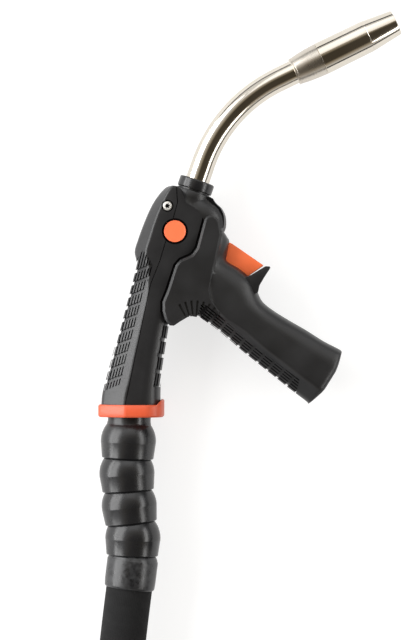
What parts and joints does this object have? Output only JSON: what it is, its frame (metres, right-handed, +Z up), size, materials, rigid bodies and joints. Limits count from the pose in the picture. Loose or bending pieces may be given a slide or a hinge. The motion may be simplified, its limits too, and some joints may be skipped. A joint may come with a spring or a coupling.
{
  "type": "mig welding torch",
  "caption": "Swan-neck welding torch with a pistol grip, trigger, ball-jointed hose guard and coiled hose with its connector.",
  "frame": {"origin": "middle of the torch's outline seen from above, without the hose, at the bench that it lies on", "axes": "+X to the side that the nozzle bends to, +Y up the handle to the nozzle, +Z up from the bench through the torch's thickness"},
  "size_m": [0.4254, 0.9013, 0.0866],
  "materials": {
    "black_plastic": "satin moulded nylon",
    "ball_plastic": "smooth satin-gloss nylon",
    "orange_plastic": "satin moulded orange",
    "nickel": "polished warm nickel plate",
    "satin_nickel": "satin nickel plate",
    "steel": "plain bright steel",
    "brass": "turned",
    "copper": "turned copper alloy",
    "insulator": "pale insulating plastic",
    "hose_sleeve": "matt black woven sleeve",
    "cable_jacket": "black cable jacket"
  },
  "bodies": {
    "hose": {"hose_cuff": "ball_plastic", "hose_run": "hose_sleeve", "hose_coil": "hose_sleeve", "coil_strap": "hose_sleeve", "connector_boot": "black_plastic", "connector_shell": "black_plastic", "connector_insert": "black_plastic", "gas_wire_pin": "brass", "pin_o_rings": "cable_jacket"},
    "ball_4": {"ball_4": "ball_plastic"},
    "ball_3": {"ball_3": "ball_plastic"},
    "ball_2": {"ball_2": "ball_plastic"},
    "ball_1": {"ball_1": "ball_plastic"},
    "handle": {"rear_cover": "black_plastic", "front_shell": "black_plastic", "badge_disc": "orange_plastic", "cover_screw": "steel", "power_block": "brass", "handle_cable": "cable_jacket", "rear_ring": "orange_plastic", "grip_near_half": "black_plastic", "grip_far_half": "black_plastic", "grip_screws": "steel", "trigger_pin": "steel", "trigger_spring": "steel", "switch_body": "black_plastic", "switch_leads": "cable_jacket"},
    "neck": {"gas_nozzle": "nickel", "nozzle_holder": "satin_nickel", "contact_tip": "copper", "tip_adapter": "brass", "gas_diffuser": "insulator", "neck_tube": "nickel", "neck_insulator": "insulator", "neck_conductor": "copper", "wire_liner": "steel", "neck_collar": "black_plastic"},
    "trigger": {"trigger": "orange_plastic"},
    "switch_plunger": {"switch_plunger": "insulator"},
    "union_nut": {"union_nut": "black_plastic"},
    "control_pin_left": {"control_pin_left": "brass"},
    "control_pin_right": {"control_pin_right": "brass"}
  },
  "joints": [
    {"name": "cuff_ball_joint", "type": "hinge", "parent": "hose", "child": "ball_4", "pos_m": [-0.0901, -0.2045, 0.025], "axis": [0, 0, 1], "range_deg": [-10, 10]},
    {"name": "ball_joint_4", "type": "hinge", "parent": "ball_4", "child": "ball_3", "pos_m": [-0.08903, -0.17992, 0.025], "axis": [0, 0, 1], "range_deg": [-10, 10]},
    {"name": "ball_joint_3", "type": "hinge", "parent": "ball_3", "child": "ball_2", "pos_m": [-0.09181, -0.15548, 0.025], "axis": [0, 0, 1], "range_deg": [-10, 10]},
    {"name": "ball_joint_2", "type": "hinge", "parent": "ball_2", "child": "ball_1", "pos_m": [-0.09353, -0.13094, 0.025], "axis": [0, 0, 1], "range_deg": [-10, 10]},
    {"name": "handle_ball_joint", "type": "hinge", "parent": "ball_1", "child": "handle", "pos_m": [-0.09116, -0.07669, 0.025], "axis": [0, 0, 1], "range_deg": [-8, 8]},
    {"name": "neck_turn", "type": "hinge", "parent": "handle", "child": "neck", "pos_m": [-0.03986, 0.09181, 0.025], "axis": [0.3256, 0.9455, 0], "range_deg": [-90, 90]},
    {"name": "trigger_pull", "type": "hinge", "parent": "handle", "child": "trigger", "pos_m": [-0.02063, 0.04293, 0.025], "axis": [0, 0, -1], "range_deg": [0, 5], "stiffness_Nm_per_rad": 1, "springref_deg": -5.73, "deforming": ["trigger_spring"]},
    {"name": "switch_press", "type": "slide", "parent": "handle", "child": "switch_plunger", "axis": [-0.5165, -0.8563, 0], "range_m": [0, 0.002]},
    {"name": "union_nut_turn", "type": "hinge", "parent": "hose", "child": "union_nut", "pos_m": [0.26608, -0.3158, 0.06172], "axis": [0, 0.9993, 0.0384], "continuous": true},
    {"name": "control_pin_left_press", "type": "slide", "parent": "hose", "child": "control_pin_left", "axis": [0, -0.9993, -0.0384], "range_m": [0, 0.004], "stiffness_N_per_m": 500, "springref_m": -0.002},
    {"name": "control_pin_right_press", "type": "slide", "parent": "hose", "child": "control_pin_right", "axis": [0, -0.9993, -0.0384], "range_m": [0, 0.004], "stiffness_N_per_m": 500, "springref_m": -0.002}
  ],
  "couplings": [
    {"joint": "switch_press", "follows": "trigger_pull", "m_per_rad": 0.0225}
  ]
}
